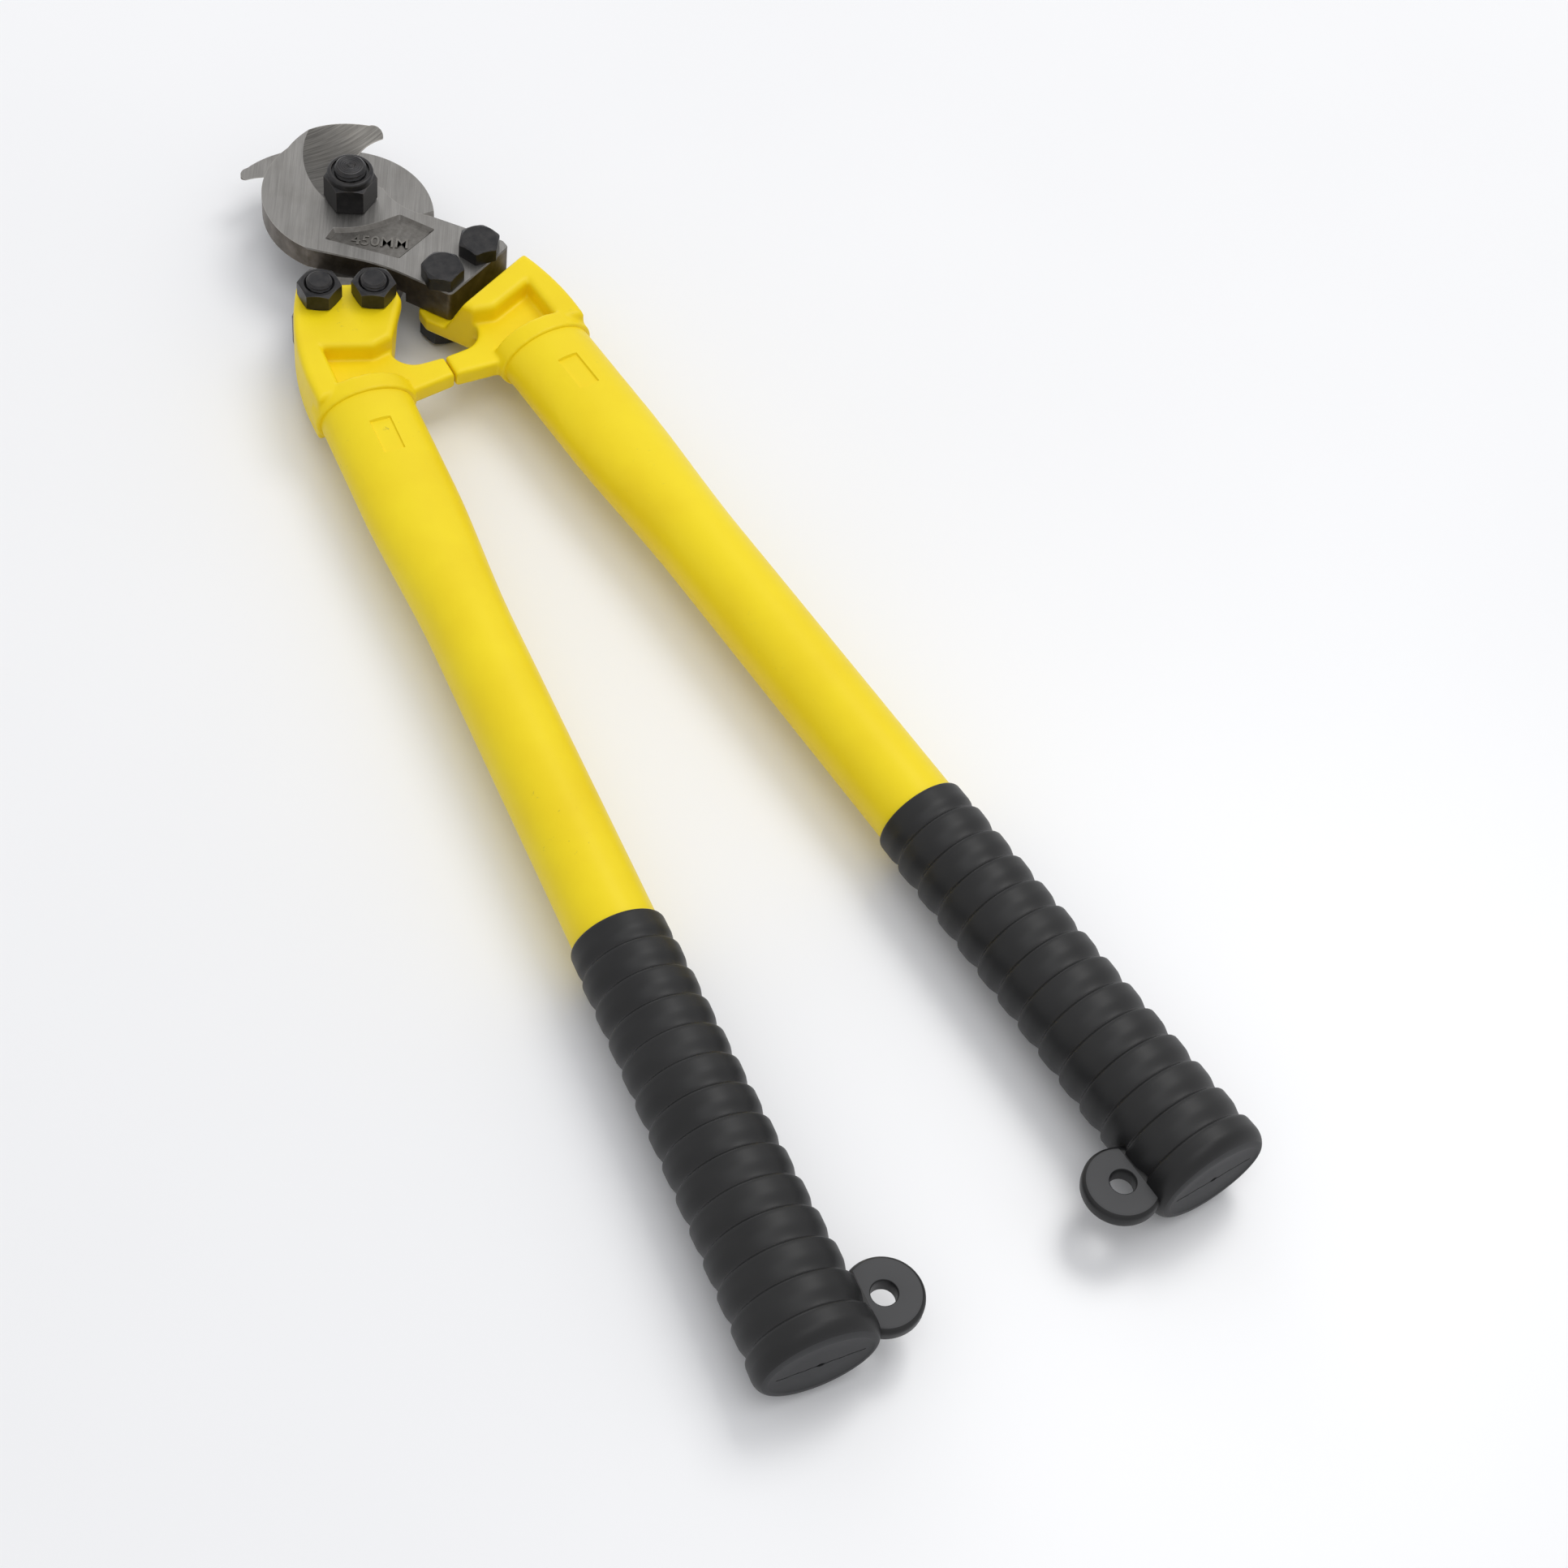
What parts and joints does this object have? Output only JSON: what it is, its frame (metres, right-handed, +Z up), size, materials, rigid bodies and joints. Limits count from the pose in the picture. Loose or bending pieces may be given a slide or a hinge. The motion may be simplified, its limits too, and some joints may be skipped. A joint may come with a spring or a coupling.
{
  "type": "cable cutter",
  "caption": "Scissor-type hand cutter with two hooked blades on one pivot bolt, cast brackets, tube handles and ribbed grips.",
  "frame": {"origin": "centre of the bottom of the whole tool as it lies flat with its handles closed; the surface it lies on is z = 0", "axes": "+Y along the tool towards the blade tips, +Z up along the pivot bolt towards its nut, +X towards the handle that carries the upper blade"},
  "size_m": [0.155, 0.4516, 0.0398],
  "materials": {
    "blade_steel": "ground and brushed grey tool steel",
    "cast_yellow": "satin yellow powder coat on a casting",
    "tube_yellow": "satin yellow powder coat on steel tube",
    "grip_black": "satin black moulded PVC",
    "black_oxide": "semi-gloss black oxide",
    "insert_nylon": "dark nylon locking ring"
  },
  "bodies": {
    "left_half": {"left_bracket": "cast_yellow", "left_tube": "tube_yellow", "left_grip": "grip_black", "left_bolt_outer": "black_oxide", "left_bolt_inner": "black_oxide", "left_nut_outer": "black_oxide", "left_nut_inner": "black_oxide", "lower_blade": "blade_steel", "pivot_bolt": "black_oxide", "pivot_nut": "black_oxide", "pivot_washer": "black_oxide", "pivot_nut_insert": "insert_nylon"},
    "right_half": {"upper_blade": "blade_steel", "right_bracket": "cast_yellow", "right_tube": "tube_yellow", "right_grip": "grip_black", "right_bolt_outer": "black_oxide", "right_bolt_inner": "black_oxide", "right_nut_outer": "black_oxide", "right_nut_inner": "black_oxide"}
  },
  "joints": [
    {"name": "jaw_pivot", "type": "hinge", "parent": "left_half", "child": "right_half", "pos_m": [0, 0.19072, 0.0175], "axis": [0, 0, 1], "range_deg": [0, 112]}
  ]
}
